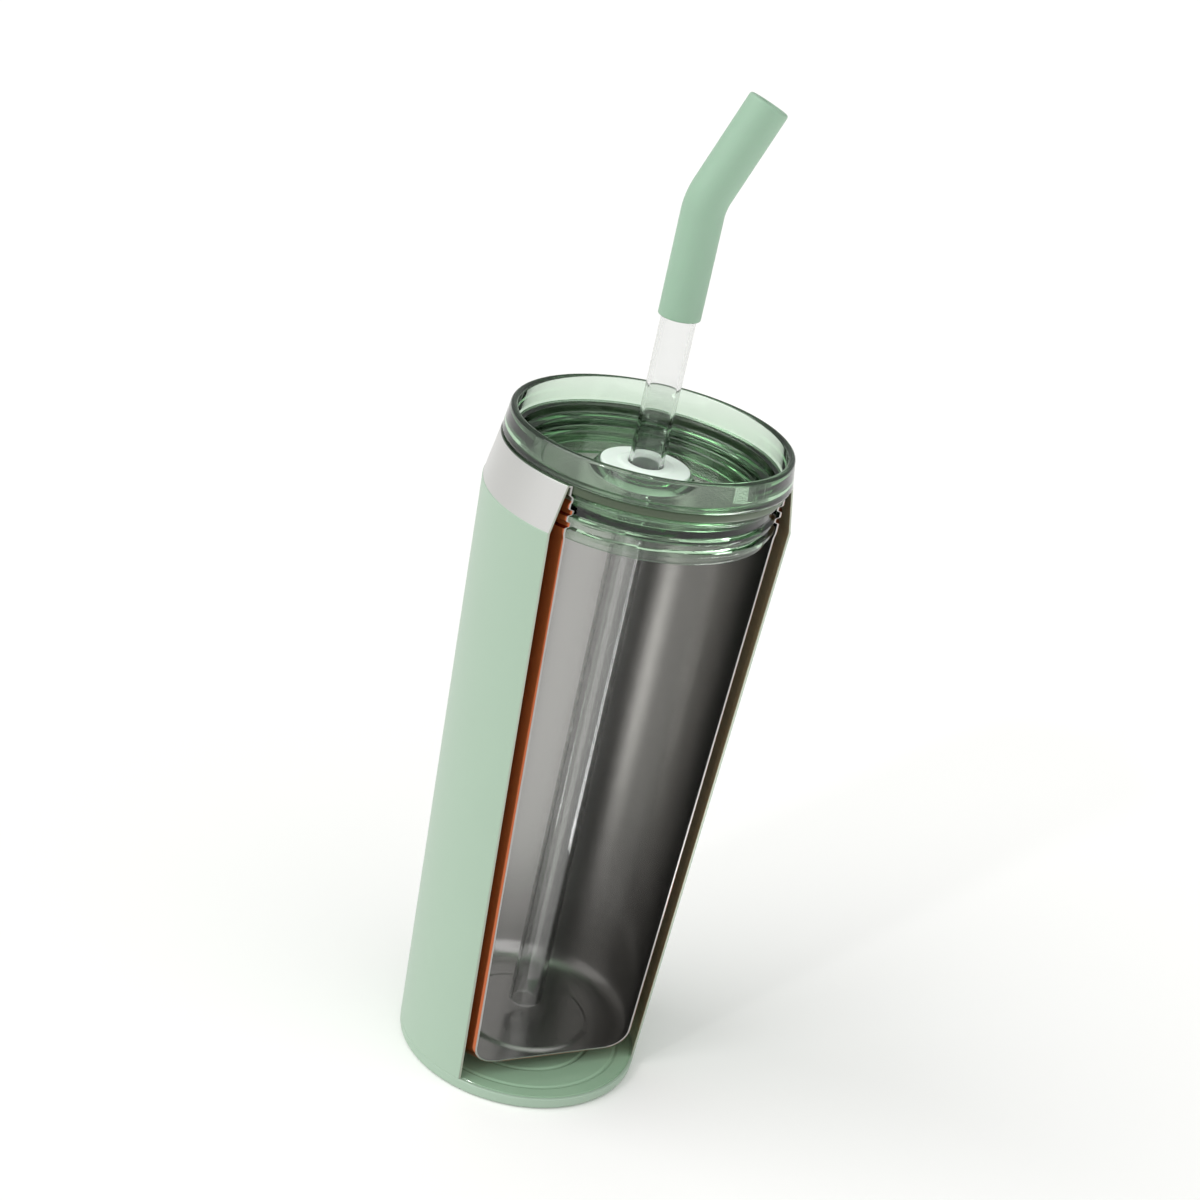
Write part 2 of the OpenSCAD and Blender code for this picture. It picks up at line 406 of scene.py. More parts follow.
def new_finish(name):
    """An empty material, its tree, its output and its Object coordinates."""
    material = bpy.data.materials.new(name)
    material.use_nodes = True
    tree = material.node_tree
    tree.nodes.clear()
    output = add(tree, "ShaderNodeOutputMaterial")
    place = add(tree, "ShaderNodeTexCoord").outputs["Object"]
    return material, tree, output, place


def per_mm(size):
    """Scale of a pattern on Object coordinates whose features are so many millimetres."""
    return 1 / (size * MM)


def tones(tree, place, base, spread, size):
    """The base colour, a little lighter and darker in soft patches of a size in millimetres."""
    noise = add(
        tree, "ShaderNodeTexNoise", {"Scale": per_mm(size), "Detail": 3.0}, {"Vector": place}
    )
    light = tuple(min(1.0, c * (1 + spread)) for c in base[:3]) + (1.0,)
    dark = tuple(c * (1 - spread) for c in base[:3]) + (1.0,)
    mix = add(
        tree, "ShaderNodeMix", {MIX_A: dark, MIX_B: light},
        {"Factor": noise.outputs["Fac"]}, data_type="RGBA",
    )
    return mix.outputs[MIX_RESULT]


def grain(tree, place, size, depth, stretch=(1, 1, 1)):
    """Surface grain of a size and a depth in millimetres, stretched along chosen axes."""
    mapping = add(tree, "ShaderNodeMapping", {"Scale": stretch}, {"Vector": place})
    noise = add(
        tree, "ShaderNodeTexNoise", {"Scale": per_mm(size), "Detail": 4.0},
        {"Vector": mapping.outputs["Vector"]},
    )
    bump = add(
        tree, "ShaderNodeBump", {"Strength": 1.0, "Distance": depth * MM},
        {"Height": noise.outputs["Fac"]},
    )
    return noise, bump


def surface(tree, output, values, links):
    """Adds the shader of a surface, with its unlinked values and its incoming links."""
    shader = add(tree, "ShaderNodeBsdfPrincipled", values, links)
    tree.links.new(shader.outputs["BSDF"], output.inputs["Surface"])


def grained_finish(name, base, patches, skin, values):
    """A colour in soft patches (spread, size) under a surface grain (size, depth)."""
    material, tree, output, place = new_finish(name)
    _, bump = grain(tree, place, *skin)
    colour_links = {
        "Base Color": tones(tree, place, base, *patches), "Normal": bump.outputs["Normal"],
    }
    surface(tree, output, values, colour_links)
    return material


def powder_coat_finish(colours):
    """Satin polyester powder coat on steel: a faint orange peel softens its wide highlights."""
    values = {"Roughness": 0.42, "IOR": 1.5, "Coat Weight": 0.12, "Coat Roughness": 0.3}
    return grained_finish("mint_powder_coat", colours.coat, (0.015, 18), (0.9, 0.012), values)


def silicone_finish(colours):
    """Moulded food-grade silicone: soft, almost matt, with a little light passing through."""
    values = {
        "Roughness": 0.52, "IOR": 1.41, "Subsurface Weight": 0.25,
        "Subsurface Radius": (0.6, 1.0, 0.7), "Subsurface Scale": 1.2 * MM,
        "Sheen Weight": 0.08, "Sheen Roughness": 0.4,
    }
    return grained_finish("mint_silicone", colours.silicone, (0.015, 6), (0.5, 0.008), values)


def grommet_finish(colours):
    """Pale translucent silicone, moulded glossy so that it slides."""
    values = {
        "Roughness": 0.25, "IOR": 1.41, "Subsurface Weight": 0.3,
        "Subsurface Radius": (0.8, 1.0, 0.8), "Subsurface Scale": 1.0 * MM,
    }
    return grained_finish("pale_silicone", colours.grommet, (0.02, 4), (0.8, 0.006), values)


def gasket_finish(colours):
    """Translucent silicone cord, which looks grey-green against the lid."""
    values = {
        "Roughness": 0.38, "IOR": 1.41, "Subsurface Weight": 0.4,
        "Subsurface Radius": (0.8, 1.0, 0.8), "Subsurface Scale": 1.5 * MM,
    }
    return grained_finish("seal_silicone", colours.gasket, (0.03, 5), (0.6, 0.006), values)


def pickled_finish(colours):
    """Acid-pickled steel, as on the vacuum side of the shell: matt and pale, with a straw tint
    that is a painted reflection of the copper plating.
    """
    values = {"Roughness": 0.6}
    return grained_finish("pickled_steel", colours.pickled, (0.05, 14), (0.6, 0.004), values)


def cut_finish(colours):
    """Sawn steel edge, bare and pale, with fine saw marks across it."""
    values = {"Metallic": 0.5, "Roughness": 0.5}
    marks = (0.25, 0.01, (1, 1, 0.2))
    return grained_finish("sawn_edge", colours.cut, (0.1, 3), marks, values)


def cap_inside_finish(colours):
    """Thin overspray of powder coat on pressed steel: darker and a little glossier."""
    values = {"Roughness": 0.14, "IOR": 1.55}
    return grained_finish("cap_overspray", colours.cap_inside, (0.04, 9), (1.4, 0.01), values)


def getter_finish():
    """Pressed and sintered metal powder: dull grey and grainy."""
    values = {"Metallic": 0.7, "Roughness": 0.7}
    grey = linear("#77736c")
    return grained_finish("sintered_getter", grey, (0.12, 0.5), (0.25, 0.03), values)


def bead_finish():
    """Solder glass, melted in place: dark and glossy with a faint flow."""
    values = {"Roughness": 0.12, "IOR": 1.6}
    slate = linear("#3d4a52")
    return grained_finish("solder_glass", slate, (0.1, 1.2), (1.5, 0.02), values)


# Turns the highlights of a metal from round the axis to along it
ALONG_AXIS = 0.25


def steel_finish(name, base, roughness, line, depth, anisotropy):
    """Stainless steel with fine lines running round the axis, line millimetres apart."""
    material, tree, output, place = new_finish(name)
    noise, lines = grain(tree, place, line, depth, (0.02, 0.02, 1))
    around = add(
        tree, "ShaderNodeVectorMath", {0: (0, 0, 1)}, {1: place}, operation="CROSS_PRODUCT"
    )
    rough = add(
        tree, "ShaderNodeMapRange",
        {"To Min": roughness * 0.98, "To Max": roughness * 1.02}, {"Value": noise.outputs["Fac"]},
    )
    surface(
        tree, output,
        {"Metallic": 1.0, "Anisotropic": anisotropy, "Anisotropic Rotation": ALONG_AXIS},
        {
            "Base Color": tones(tree, place, base, 0.02, 25),
            "Roughness": rough.outputs["Result"],
            "Normal": lines.outputs["Normal"],
            "Tangent": around.outputs["Vector"],
        },
    )
    return material


def copper_finish(colours):
    """Electroplated copper: bright, warm and slightly clouded."""
    material, tree, output, place = new_finish("copper_plating")
    noise, cloud = grain(tree, place, 6, 0.0005)
    rough = add(
        tree, "ShaderNodeMapRange", {"To Min": 0.12, "To Max": 0.2},
        {"Value": noise.outputs["Fac"]},
    )
    surface(
        tree, output, {"Metallic": 1.0},
        {
            "Base Color": tones(tree, place, colours.copper, 0.03, 12),
            "Roughness": rough.outputs["Result"],
            "Normal": cloud.outputs["Normal"],
        },
    )
    return material


def clear_finish(name, tint, density):
    """Clear injection-moulded copolyester: polished, tinted through its thickness."""
    material, tree, output, place = new_finish(name)
    haze = add(
        tree, "ShaderNodeTexNoise", {"Scale": per_mm(9), "Detail": 2.0}, {"Vector": place}
    )
    rough = add(
        tree, "ShaderNodeMapRange", {"To Min": 0.0, "To Max": 0.01},
        {"Value": haze.outputs["Fac"]},
    )
    surface(
        tree, output,
        {"Base Color": (1, 1, 1, 1), "IOR": 1.54, "Transmission Weight": 1.0},
        {"Roughness": rough.outputs["Result"]},
    )
    depth = add(tree, "ShaderNodeVolumeAbsorption", {"Color": tint, "Density": density})
    tree.links.new(depth.outputs["Volume"], output.inputs["Volume"])
    return material


# ---------------------------------------------------------------- outlines, in millimetres


def body_radius(height):
    """Outer radius of the coated body at a height."""
    return CAP_R + (SHOULDER_R - CAP_R) * (height - CAP_H) / (COAT_TOP - CAP_H)


def liner_line(sizes, off, top):
    """The liner's inner outline moved outwards, from the middle of its floor to the top."""
    sheet = sizes.sheet / MM
    floor = LINER_LOW + sheet
    low_r, high_r, neck = (s / MM for s in (sizes.liner_low_r, sizes.liner_high_r, sizes.neck_r))
    taper_top, neck_low, seat_low, seat_full, fillet = 163.5, 165.5, 175.0, 175.4, 5.0
    seat_step = 0.5
    wall_r = low_r + (high_r - low_r) * fillet / (taper_top - floor)
    plateau_r, slope, step = 17.2, 1.8, 0.7
    line = [(0, floor + step - off), (plateau_r, floor + step - off)]
    line += [
        (plateau_r + slope * t, floor - off + step * (1 - eased(t)))
        for t in (0.2, 0.4, 0.6, 0.8, 1.0)
    ]
    line += arc((wall_r - fillet, floor + fillet), fillet + off, -90, 0, 14)
    line += run((wall_r + off, floor + fillet), (high_r + off, taper_top), 8)[1:]
    line += rounded_step((high_r + off, taper_top), (neck + off, neck_low))
    line += run((neck + off, neck_low), (neck + off, min(top, seat_low)), 0.2)[1:]
    line.append((neck + off, min(top, seat_low)))
    if top > seat_low:
        line += [(neck + seat_step + off, seat_full), (neck + seat_step + off, top)]
    return line


# Threads: the neck's crest is at NECK_CREST_R, the lid's at LID_CREST_R
NECK_THREAD = {"start_z": 167.0, "start_angle": math.radians(134), "turns": 2.25}
NECK_CREST_R = 34.9
LID_CREST_R = 35.4
LID_THREAD_TURNS = 1.6
LID_THREAD_TOP = 172


def roll_neck_thread(piece, sizes, depth):
    """Presses the neck's helical thread inwards into a sheet, both faces alike."""
    pitch = sizes.pitch / MM
    for vertex in piece.data.vertices:
        x, y, z = vertex.co / MM
        radius = math.hypot(x, y)
        if z < NECK_THREAD["start_z"] - pitch or radius < sizes.neck_r / MM - 0.2:
            continue
        part = thread_height(x, y, z, pitch=pitch, **NECK_THREAD)
        shrink = (radius - depth * part) / radius
        vertex.co.x *= shrink
        vertex.co.y *= shrink


def raise_lid_thread(piece, sizes, height):
    """Raises the lid's helical thread on the outside of its skirt."""
    pitch = sizes.pitch / MM
    skirt = sizes.skirt_r / MM
    start_z = NECK_THREAD["start_z"] - pitch / 2
    for vertex in piece.data.vertices:
        x, y, z = vertex.co / MM
        radius = math.hypot(x, y)
        if z > LID_THREAD_TOP or abs(radius - skirt) > 0.05:
            continue
        part = thread_height(
            x, y, z, start_z, NECK_THREAD["start_angle"], LID_THREAD_TURNS, pitch
        )
        grow = (radius + height * part) / radius
        vertex.co.x *= grow
        vertex.co.y *= grow


# ---------------------------------------------------------------- operators


class TUMBLER_OT_shell(bpy.types.Operator):
    """Makes the steel shell and its powder coating"""

    bl_idname = "tumbler.shell"
    bl_label = "Shell and coating"

    def execute(self, context):
        sizes, colours = context.scene.tumbler_sizes, context.scene.tumbler_colours
        coat, sheet, lip = (s / MM for s in (sizes.coat, sizes.sheet, sizes.lip_r))
        foot, shoulder = body_radius(CAP_H), SHOULDER_R
        steel = [
            (foot - coat, CAP_H), (shoulder - coat, COAT_TOP), (lip, LIP_Z),
            (lip - sheet, LIP_Z), (shoulder - coat - sheet, COAT_TOP - sheet / 2),
            (foot - coat - sheet, CAP_H),
        ]
        shell = smoothed(sectioned(turned("outer_shell", rounded(steel, 0.1, 3))), 40)
        bare = steel_finish("brushed_collar", colours.collar, 0.3, 0.3, 0.001, 0.6)
        placed(shell, "cup", "collar_steel", bare, "outer_shell")
        # The shell's inner faces get pickled steel whose straw tint is a painted reflection of the
        # copper
        repainted(shell, pickled_finish(colours), faces_axis)
        repainted(shell, cut_finish(colours), on_cut)
        skin = [
            (foot - coat, CAP_H), (foot - 0.05, CAP_H), (foot, CAP_H + 0.15),
            (body_radius(COAT_TOP - 0.3), COAT_TOP - 0.3),
            (shoulder - coat * 0.4, COAT_TOP - 0.08), (shoulder - coat, COAT_TOP),
        ]
        painted = smoothed(sectioned(turned("powder_coat", skin)), 40)
        placed(painted, "cup", "mint_coat", powder_coat_finish(colours), "powder_coat")
        return {"FINISHED"}


class TUMBLER_OT_liner(bpy.types.Operator):
    """Makes the liner with its rolled thread, and the copper on its vacuum side"""

    bl_idname = "tumbler.liner"
    bl_label = "Liner and copper"

    def execute(self, context):
        sizes, colours = context.scene.tumbler_sizes, context.scene.tumbler_colours
        sheet, copper, lip = (s / MM for s in (sizes.sheet, sizes.copper, sizes.lip_r))
        depth = sizes.neck_r / MM - NECK_CREST_R
        outer = liner_line(sizes, sheet, LIP_Z - sheet)
        outer += [(lip - sheet, LIP_Z - sheet), (lip - sheet, LIP_Z)]
        inner = liner_line(sizes, 0, LIP_Z - 0.15)
        inner.append((inner[-1][0] + 0.15, LIP_Z))
        liner = turned("inner_liner", inner + outer[::-1])
        roll_neck_thread(liner, sizes, depth)
        smoothed(sectioned(liner), 40)
        polished = steel_finish("polished_liner", colours.liner, 0.26, 0.5, 0.0002, 0.7)
        placed(liner, "cup", "liner_steel", polished, "inner_liner")
        copper_top = high_of("copper_lining").z
        near = liner_line(sizes, sheet, copper_top)
        far = liner_line(sizes, sheet + copper, copper_top)
        lining = turned("copper_lining", near + far[::-1])
        roll_neck_thread(lining, sizes, depth)
        smoothed(sectioned(lining), 40)
        placed(lining, "cup", "copper_plating", copper_finish(colours), "copper_lining")
        return {"FINISHED"}


class TUMBLER_OT_base(bpy.types.Operator):
    """Makes the base cap, its cover plate, and the bead and the getter of the vacuum"""

    bl_idname = "tumbler.base"
    bl_label = "Base"

    def execute(self, context):
        sizes, colours = context.scene.tumbler_sizes, context.scene.tumbler_colours
        self.cap(sizes, colours)
        self.cover(colours)
        self.bead()
        self.getter(colours)
        return {"FINISHED"}

    def cap(self, sizes, colours):
        """Cap with pressed rings above, and below it a dimple in the cover plate's seat."""
        edge = sizes.cap_round / MM
        foot = CAP_R - (SHOULDER_R - CAP_R) / (COAT_TOP - CAP_H) * CAP_H
        hole, dimple_r, dimple_top, seat_z = 0.8, 5.0, 2.4, 1.0
        ring_d, ring_half, groove_d, ledge = 0.3, 0.8, 0.15, CAP_LEDGE
        seat_r = COVER_R + 0.1
        outline = [
            (hole, dimple_top), (dimple_r - 0.4, dimple_top), (dimple_r, dimple_top - 0.4),
            (dimple_r, seat_z), (seat_r, seat_z), (seat_r, 0.3), (seat_r + 0.3, 0),
        ]
        outline += arc((foot - edge, edge), edge, -90, 0, 10)
        outline += arc((CAP_R - 0.4, CAP_H - 0.4), 0.4, 0, 90, 5)
        outline += [(CAP_R - ledge, CAP_H), (CAP_R - ledge - 0.1, CAP_H - groove_d)]
        outline += [(CAP_R - ledge - 0.4, CAP_H - groove_d), (CAP_R - ledge - 0.5, CAP_H)]
        for ring in (28.0, 20.0):
            for i in range(9):
                depth = ring_d / 2 * (1 - math.cos(math.pi * i / 4))
                outline.append((ring + ring_half * (1 - i / 4), CAP_H - depth))
        outline.append((hole, CAP_H))
        cap = smoothed(turned("base_cap", outline), 40)
        finish = powder_coat_finish(colours)
        finish.name = "mint_cap_coat"
        placed(cap, "cup", "mint_cap", finish, "base_cap")
        repainted(cap, cap_inside_finish(colours), self.is_inside)

    @staticmethod
    def is_inside(face):
        """Whether a face of the cap lies inside the shell."""
        inside_r = body_radius(CAP_H) - CAP_LEDGE
        return face.normal.z > 0.5 and math.hypot(face.center.x, face.center.y) < inside_r * MM

    def cover(self, colours):
        """Round steel plate with softened edges."""
        outline = [(0, 0), (COVER_R - 0.35, 0), (COVER_R, 0.3), (COVER_R, COVER_T), (0, COVER_T)]
        plate = smoothed(turned("cover_plate", rounded_open(outline, 0.12) + [outline[-1]]), 40)
        brushed = steel_finish("brushed_cover", colours.collar, 0.28, 0.3, 0.004, 0.2)
        placed(plate, "cup", "cover_steel", brushed, "cover_plate")

    def bead(self):
        """Glass, domed where it set."""
        outline = [(0, BEAD_HIGH), (BEAD_R, BEAD_HIGH)]
        outline += [
            (BEAD_R * math.cos(a), BEAD_HIGH - (BEAD_HIGH - BEAD_LOW) * math.sin(a))
            for a in (math.pi / 2 * i / 10 for i in range(1, 11))
        ]
        bead = smoothed(turned("vacuum_seal", outline, SMALL_STEPS), 60)
        placed(bead, "cup", "solder_glass", bead_finish(), "vacuum_seal")

    def getter(self, colours):
        """Pellet and the strap welded over it."""
        pellet = turned(
            "getter_pellet",
            rounded(box_outline(0, GETTER_R, GETTER_LOW, GETTER_HIGH), 0.25, 4),
            SMALL_STEPS,
        )
        for vertex in pellet.data.vertices:
            vertex.co.x += GETTER.x * MM
            vertex.co.y += GETTER.y * MM
        placed(smoothed(pellet), "cup", "getter_alloy", getter_finish(), "getter_pellet")
        mill = steel_finish("mill_steel", colours.liner, 0.34, 0.8, 0.006, 0.2)
        placed(self.strap(), "cup", "clip_steel", mill, "getter_clip")

    def strap(self):
        """A flat strip over the pellet, bent down at both sides to two welded feet."""
        low, high = low_of("getter_clip"), high_of("getter_clip")
        thick, width = 0.3, high.y - low.y
        reach = GETTER_R + thick
        bars = [("strap_top", GETTER.x, high.z - thick / 2, 2 * reach, thick)]
        for side in (-1, 1):
            foot_long = (high.x - low.x) / 2 - reach + thick
            foot_x = GETTER.x + side * ((high.x - low.x) / 2 - foot_long / 2)
            bars.append(("strap_foot", foot_x, low.z + thick / 2, foot_long, thick))
            leg_x = GETTER.x + side * (reach - thick / 2)
            bars.append(("strap_leg", leg_x, (low.z + high.z) / 2, thick, high.z - low.z))
        strap, *others = [
            self.bar(name, x, z, (long, width, tall)) for name, x, z, long, tall in bars
        ]
        strap.name = "getter_clip"
        for other in others:
            select_only(strap)
            union = strap.modifiers.new("join", "BOOLEAN")
            union.operation, union.solver, union.object = "UNION", "EXACT", other
            bpy.ops.object.modifier_apply(modifier=union.name)
            bpy.data.objects.remove(other)
        select_only(strap)
        bevel = strap.modifiers.new("edges", "BEVEL")
        bevel.width, bevel.segments, bevel.limit_method = 0.06 * MM, 2, "ANGLE"
        bpy.ops.object.modifier_apply(modifier=bevel.name)
        return smoothed(strap)

    def bar(self, name, x, z, extent):
        """A bar of an extent along X, Y and Z, level with the pellet in Y."""
        select_nothing()
        bpy.ops.mesh.primitive_cube_add(size=MM)
        bar = bpy.context.object
        bar.name = name
        bpy.ops.object.mode_set(mode="EDIT")
        bpy.ops.mesh.select_all(action="SELECT")
        bpy.ops.transform.resize(value=extent)
        bpy.ops.transform.translate(value=Vector((x, GETTER.y, z)) * MM)
        bpy.ops.object.mode_set(mode="OBJECT")
        return bar


class TUMBLER_OT_lid(bpy.types.Operator):
    """Makes the clear lid with its stepped dish and its thread"""

    bl_idname = "tumbler.lid"
    bl_label = "Lid"

    def execute(self, context):
        sizes, colours = context.scene.tumbler_sizes, context.scene.tumbler_colours
        rim, wall, skirt = (s / MM for s in (sizes.rim_r, sizes.rim_t, sizes.skirt_r))
        groove_low, keeper = 175.4, 35.2
        flange_low, dish, shell = 178.2, 170.6, 1.8
        skirt_in, under = skirt - shell, dish - shell
        boss_r, boss_foot = 12.4, 15.0
        foot = under + (BOSS_TOP - dish) / 2
        outside = [
            (FLANGE_R, flange_low + 0.9), (FLANGE_R - 0.4, flange_low), (GROOVE_R, flange_low),
            (GROOVE_R, groove_low), (keeper, groove_low), (keeper, groove_low - 1),
            (skirt, groove_low - 1.6),
        ]
        inside = [
            (skirt - 0.5, LID_LOW), (skirt_in, LID_LOW), (skirt_in, under), (boss_foot, under),
            (BOSS_HOLE_R + 2.6, foot), (BOSS_HOLE_R, foot), (BOSS_HOLE_R, BOSS_TOP),
            (boss_r, BOSS_TOP),
            (boss_foot, dish), (27.3, dish), (28, dish + 2.4), (30.4, dish + 2.9),
            (30.8, dish + 5.2), (32.8, dish + 5.7), (33.2, dish + 8),
            (rim - wall - 0.1, dish + 8.4),
        ]
        outline = arc((rim - wall / 2, RIM_Z - wall / 2), wall / 2, 180, 0, 16)
        outline += rounded_open([outline[-1], *outside, (skirt, LID_THREAD_TOP)], 0.3)[1:]
        outline += run((skirt, LID_THREAD_TOP - 0.2), (skirt, LID_LOW + 0.5), 0.2)
        outline += rounded_open([(skirt, LID_LOW + 0.5), *inside, outline[0]], 0.35)[:-1]
        lid = turned("lid_body", outline)
        raise_lid_thread(lid, sizes, LID_CREST_R - skirt)
        finish = clear_finish("tinted_copolyester", colours.lid, 150.0)
        placed(smoothed(lid, 50), "lid", "lid_plastic", finish, "lid_body")
        return {"FINISHED"}


class TUMBLER_OT_seals(bpy.types.Operator):
    """Makes the lid's gasket and the grommet that holds the straw"""

    bl_idname = "tumbler.seals"
    bl_label = "Gasket and grommet"

    def execute(self, context):
        colours = context.scene.tumbler_colours
        width = GASKET_R - GASKET_HOLE_R
        inner = -low_of("lid_gasket").x - width
        ring = rounded(box_outline(inner, GASKET_R, GASKET_LOW, GASKET_HIGH), 0.7, 6)
        gasket = smoothed(turned("lid_gasket", ring), 50)
        placed(gasket, "seal_ring", "seal_silicone", gasket_finish(colours), "lid_gasket")
        bore, foot_r = STRAW_R + STRAW_FIT, 9.6
        foot = GROMMET_LOW + 1.6
        profile = [
            (bore, GROMMET_LOW), (foot_r, GROMMET_LOW), (foot_r, foot), (BOSS_HOLE_R, foot),
            (BOSS_HOLE_R, BOSS_TOP), (GROMMET_R, BOSS_TOP), (GROMMET_R, GROMMET_HIGH - 0.4),
            (7.4, GROMMET_HIGH - 0.25), (6.6, GROMMET_HIGH), (bore, GROMMET_HIGH),
        ]
        grommet = turned("straw_grommet", rounded(profile, 0.35, 4), GROMMET_STEPS)
        smoothed(grommet, 50)
        placed(grommet, "lid", "grommet_silicone", grommet_finish(colours), "straw_grommet")
        return {"FINISHED"}


class TUMBLER_OT_straw(bpy.types.Operator):
    """Makes the clear straw"""

    bl_idname = "tumbler.straw"
    bl_label = "Straw"

    def execute(self, context):
        sizes, colours = context.scene.tumbler_sizes, context.scene.tumbler_colours
        wall = sizes.straw_t / MM
        middle = STRAW_R - wall / 2
        outline = arc((middle, STRAW_LOW + wall / 2), wall / 2, 180, 360, 10)
        outline += arc((middle, STRAW_HIGH - wall / 2), wall / 2, 0, 180, 10)
        straw = smoothed(turned("straw_tube", outline, STRAW_STEPS), 50)
        finish = clear_finish("clear_copolyester", colours.straw, 260.0)
        placed(straw, "straw", "straw_plastic", finish, "straw_tube")
        return {"FINISHED"}


class TUMBLER_OT_mouthpiece(bpy.types.Operator):
    """Makes the bent silicone mouthpiece"""

    bl_idname = "tumbler.mouthpiece"
    bl_label = "Mouthpiece"

    def execute(self, context):
        sizes, colours = context.scene.tumbler_sizes, context.scene.tumbler_colours
        radius, bore = sizes.tip_r / MM, STRAW_R - sizes.straw_t / MM
        bend_r, angle = 16.0, sizes.tip_bend
        trim = bend_r * math.tan(angle / 2)
        start = sizes.tip_bend_z / MM - trim
        end = start + bend_r * angle + sizes.tip_run / MM - trim
        socket, shoulder = STRAW_R + STRAW_FIT, STRAW_HIGH + 0.2
        outline = [(socket, TIP_LOW + 0.3), (socket + 0.3, TIP_LOW)]
        outline += arc((radius - 0.35, TIP_LOW + 0.35), 0.35, -90, 0, 5)
        outline += run((radius, TIP_LOW + 1), (radius, start - 1), 4)
        outline += run((radius, start - 1), (radius, start + bend_r * angle + 1), 0.35)
        outline += run((radius, start + bend_r * angle + 1), (radius, end - 0.7), 4)
        outline += arc((radius - 0.7, end - 0.7), 0.7, 0, 90, 6)
        outline += arc((bore + 0.5, end - 0.5), 0.5, 90, 180, 4)
        outline += run((bore, end - 1), (bore, start + bend_r * angle + 1), 4)
        outline += run((bore, start + bend_r * angle + 1), (bore, start - 1), 0.35)
        outline += [(bore, shoulder), (socket, shoulder)]
        tip = turned("straw_tip", outline, TIP_STEPS)
        self.bend(tip, start, bend_r, angle, sizes.tip_turn)
        finish = silicone_finish(colours)
        placed(smoothed(tip, 50), "mouthpiece", "tip_silicone", finish, "straw_tip")
        return {"FINISHED"}

    def bend(self, tip, start, bend_r, angle, turn):
        """Curves a straight upright tube over an arc, then turns it about its axis."""
        spin = Matrix.Rotation(turn, 3, "Z")
        for vertex in tip.data.vertices:
            x, y, z = vertex.co / MM
            along = max(0.0, z - start)
            bent = min(along / bend_r, angle)
            rest = along - bend_r * bent
            out = Vector((math.cos(bent), 0, -math.sin(bent)))
            ahead = Vector((math.sin(bent), 0, math.cos(bent)))
            middle = Vector((bend_r * (1 - math.cos(bent)), 0, min(z, start)))
            middle.z += bend_r * math.sin(bent)
            place = middle + out * x + ahead * rest + Vector((0, y, 0))
            vertex.co = spin @ place * MM


# Width of the floor in metres, and the way from the tumbler to the bright side of the room
FLOOR_SIZE = 60
ROOM_FRONT = (-0.53, -0.85, 0)


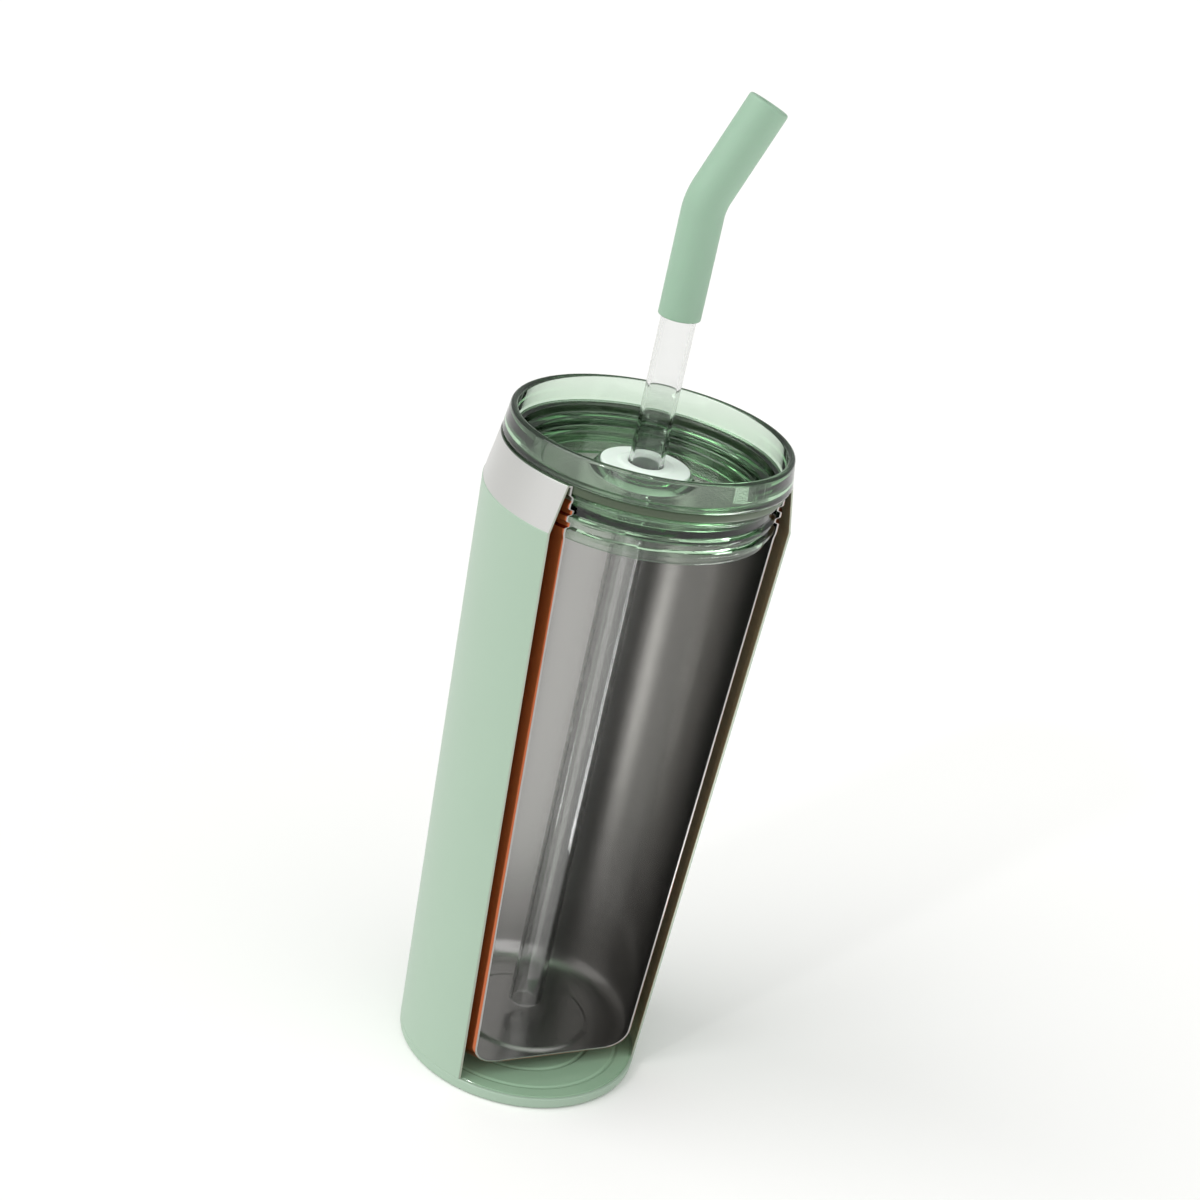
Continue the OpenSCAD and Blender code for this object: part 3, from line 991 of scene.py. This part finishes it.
class TUMBLER_OT_stage(bpy.types.Operator):
    """Makes the floor, the lights and the camera"""

    bl_idname = "tumbler.stage"
    bl_label = "Stage"

    def execute(self, context):
        self.floor(context.scene.tumbler_colours)
        self.lamp("key", azimuth=168, elevation=42, spread=50, strength=1.35)
        self.lamp("accent", azimuth=203, elevation=30, spread=3, strength=0.25)
        self.panel(place=(0.219, -0.123), turn=-26, size=(0.28, 0.08), power=0.5)
        self.world(context.scene)
        self.camera(context.scene)
        context.scene.view_settings.view_transform = "Standard"
        return {"FINISHED"}

    def floor(self, colours):
        """A pale matt floor."""
        select_nothing()
        bpy.ops.mesh.primitive_plane_add(size=FLOOR_SIZE)
        floor = bpy.context.object
        floor.name = "floor"
        material, tree, output, place = new_finish("pale_floor")
        surface(
            tree, output, {"Roughness": 0.9, "Specular IOR Level": 0.1},
            {"Base Color": tones(tree, place, colours.floor, 0.003, 200)},
        )
        floor.data.materials.append(material)

    def lamp(self, name, azimuth, elevation, spread, strength):
        """A distant soft lamp, its place and its spread in degrees."""
        data = bpy.data.lights.new(name, "SUN")
        data.energy, data.angle = strength, math.radians(spread)
        lamp = bpy.data.objects.new(name, data)
        bpy.context.collection.objects.link(lamp)
        turn, rise = math.radians(azimuth), math.radians(elevation)
        lamp.location = (
            math.cos(turn) * math.cos(rise), math.sin(turn) * math.cos(rise), math.sin(rise)
        )
        lamp.rotation_mode = "QUATERNION"
        lamp.rotation_quaternion = (-lamp.location).to_track_quat("-Z", "Y")

    def panel(self, place, turn, size, power):
        """A narrow light panel that lies on the floor, turned by some degrees, and shines up."""
        data = bpy.data.lights.new("panel", "AREA")
        data.shape, data.energy = "RECTANGLE", power
        data.size, data.size_y = size
        lamp = bpy.data.objects.new("panel", data)
        bpy.context.collection.objects.link(lamp)
        lamp.location = (*place, MM)
        lamp.rotation_euler = (math.pi, 0, math.radians(turn))
        lamp.visible_camera = False

    def world(self, scene):
        """A pale surround, brighter in front of the tumbler than behind it."""
        world = bpy.data.worlds.new("studio")
        world.use_nodes = True
        tree = world.node_tree
        tree.nodes.clear()
        output = add(tree, "ShaderNodeOutputWorld")
        toward = add(tree, "ShaderNodeTexCoord").outputs["Generated"]
        front = add(
            tree, "ShaderNodeVectorMath", {1: ROOM_FRONT}, {0: toward}, operation="DOT_PRODUCT"
        )
        strength = add(
            tree, "ShaderNodeMapRange",
            {"From Min": -0.7, "From Max": 0.3, "To Min": 0.42, "To Max": 1.03},
            {"Value": front.outputs["Value"]}, interpolation_type="SMOOTHSTEP",
        )
        sky = add(
            tree, "ShaderNodeBackground", {"Color": (1, 1, 1, 1)},
            {"Strength": strength.outputs["Result"]},
        )
        tree.links.new(sky.outputs["Background"], output.inputs["Surface"])
        scene.world = world

    def camera(self, scene):
        """The camera, turned about its own view by the roll."""
        studio = scene.tumbler_studio
        azimuth, drop = studio.camera_azimuth, studio.camera_drop
        ahead = Vector((
            math.sin(azimuth) * math.cos(drop), math.cos(azimuth) * math.cos(drop), -math.sin(drop)
        ))
        data = bpy.data.cameras.new("camera")
        data.lens, data.sensor_width = studio.lens, 36.0
        camera = bpy.data.objects.new("camera", data)
        bpy.context.collection.objects.link(camera)
        camera.location = studio.camera_at
        camera.rotation_mode = "QUATERNION"
        roll = Quaternion((0, 0, 1), studio.camera_roll)
        camera.rotation_quaternion = ahead.to_track_quat("-Z", "Y") @ roll
        scene.camera = camera


class TUMBLER_PT_panel(bpy.types.Panel):
    """Lists the tumbler's operators"""

    bl_idname = "TUMBLER_PT_panel"
    bl_label = "Sectioned Tumbler"
    bl_space_type = "VIEW_3D"
    bl_region_type = "UI"
    bl_category = "Tumbler"

    def draw(self, context):
        for operator in OPERATORS:
            self.layout.operator(operator.bl_idname)


OPERATORS = (
    TUMBLER_OT_shell,
    TUMBLER_OT_liner,
    TUMBLER_OT_base,
    TUMBLER_OT_lid,
    TUMBLER_OT_seals,
    TUMBLER_OT_straw,
    TUMBLER_OT_mouthpiece,
    TUMBLER_OT_stage,
)
GROUPS = {
    "tumbler_sizes": TumblerSizes,
    "tumbler_colours": TumblerColours,
    "tumbler_studio": TumblerStudio,
}


def register():
    """Registers the classes and adds the settings to the scene."""
    for group in GROUPS.values():
        bpy.utils.register_class(group)
    for cls in (*OPERATORS, TUMBLER_PT_panel):
        bpy.utils.register_class(cls)
    for name, group in GROUPS.items():
        setattr(bpy.types.Scene, name, bpy.props.PointerProperty(type=group))


def unregister():
    """Takes away what register added."""
    for name in GROUPS:
        delattr(bpy.types.Scene, name)
    for cls in (TUMBLER_PT_panel, *reversed(OPERATORS)):
        bpy.utils.unregister_class(cls)
    for group in reversed(GROUPS.values()):
        bpy.utils.unregister_class(group)


def main():
    """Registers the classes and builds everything."""
    register()
    for operator in OPERATORS:
        category, name = operator.bl_idname.split(".")
        getattr(getattr(bpy.ops, category), name)()


if __name__ == "__main__":
    main()
